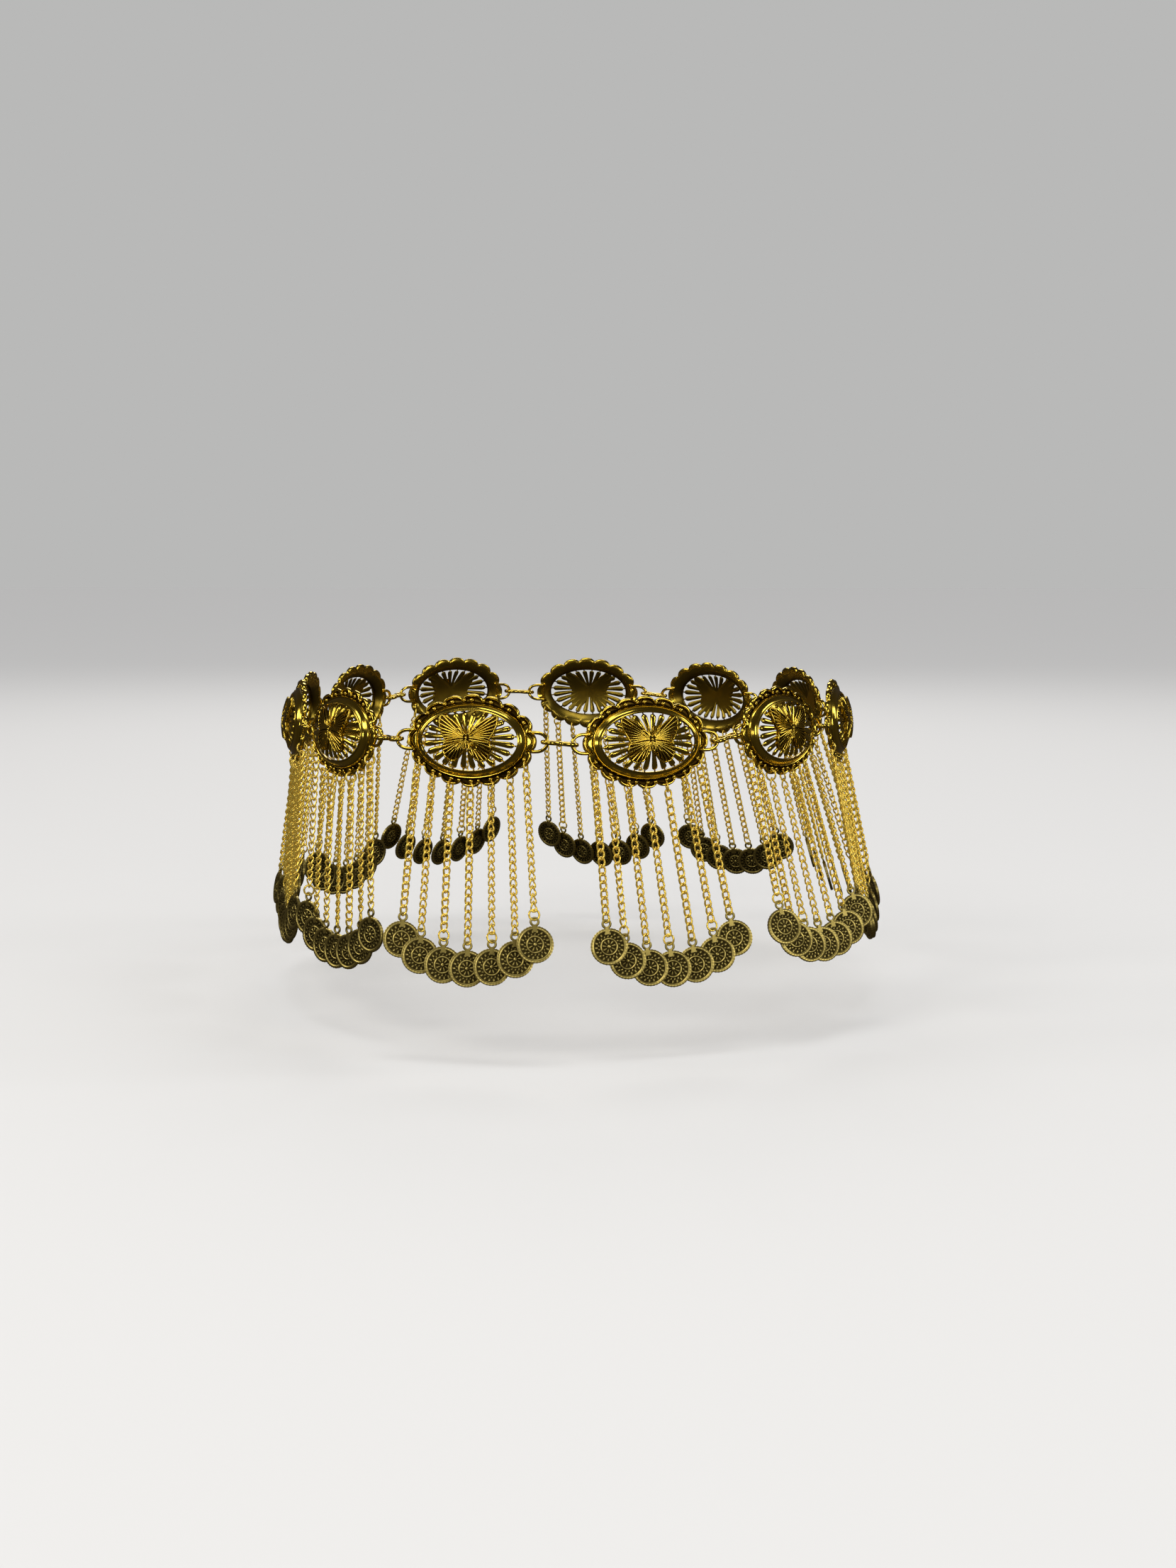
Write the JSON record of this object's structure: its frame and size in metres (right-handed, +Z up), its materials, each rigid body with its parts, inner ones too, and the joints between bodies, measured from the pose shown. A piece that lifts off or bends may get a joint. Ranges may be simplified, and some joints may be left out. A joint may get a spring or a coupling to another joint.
{
  "type": "coin waist chain",
  "caption": "Costume waist chain: domed oval openwork plates joined by ring links, each with short hanging chains that end in small coins, shut by a spring clasp.",
  "frame": {"origin": "middle of the ring that the chain makes round the hips, at the height of the plates' centres", "axes": "+Z up as worn, -Y towards the wearer's front, +X towards the wearer's left"},
  "size_m": [0.298, 0.2274, 0.0948],
  "materials": {
    "antique_gold": "polished antique gold plating with near-black recesses",
    "bright_gold": "bright yellow gold plating, coins a darker antique gold"
  },
  "bodies": {
    "root": {"plate_01": "antique_gold", "plate_02": "antique_gold", "plate_03": "antique_gold", "plate_04": "antique_gold", "plate_05": "antique_gold", "plate_06": "antique_gold", "plate_07": "antique_gold", "plate_08": "antique_gold", "plate_09": "antique_gold", "plate_10": "antique_gold", "plate_11": "antique_gold", "plate_12": "antique_gold", "link_01": "antique_gold", "link_02": "antique_gold", "link_03": "antique_gold", "link_04": "antique_gold", "link_05": "antique_gold", "link_06": "antique_gold", "link_07": "antique_gold", "link_08": "antique_gold", "link_09": "antique_gold", "link_10": "antique_gold", "link_11": "antique_gold", "link_12": "antique_gold", "link_13": "antique_gold", "fringe_01": "bright_gold", "fringe_02": "bright_gold", "fringe_03": "bright_gold", "fringe_04": "bright_gold", "fringe_05": "bright_gold", "fringe_06": "bright_gold", "fringe_07": "bright_gold", "fringe_08": "bright_gold", "fringe_09": "bright_gold", "fringe_10": "bright_gold", "fringe_11": "bright_gold", "fringe_12": "bright_gold", "clasp_hook": "bright_gold", "clasp_lever": "bright_gold"}
  },
  "joints": []
}
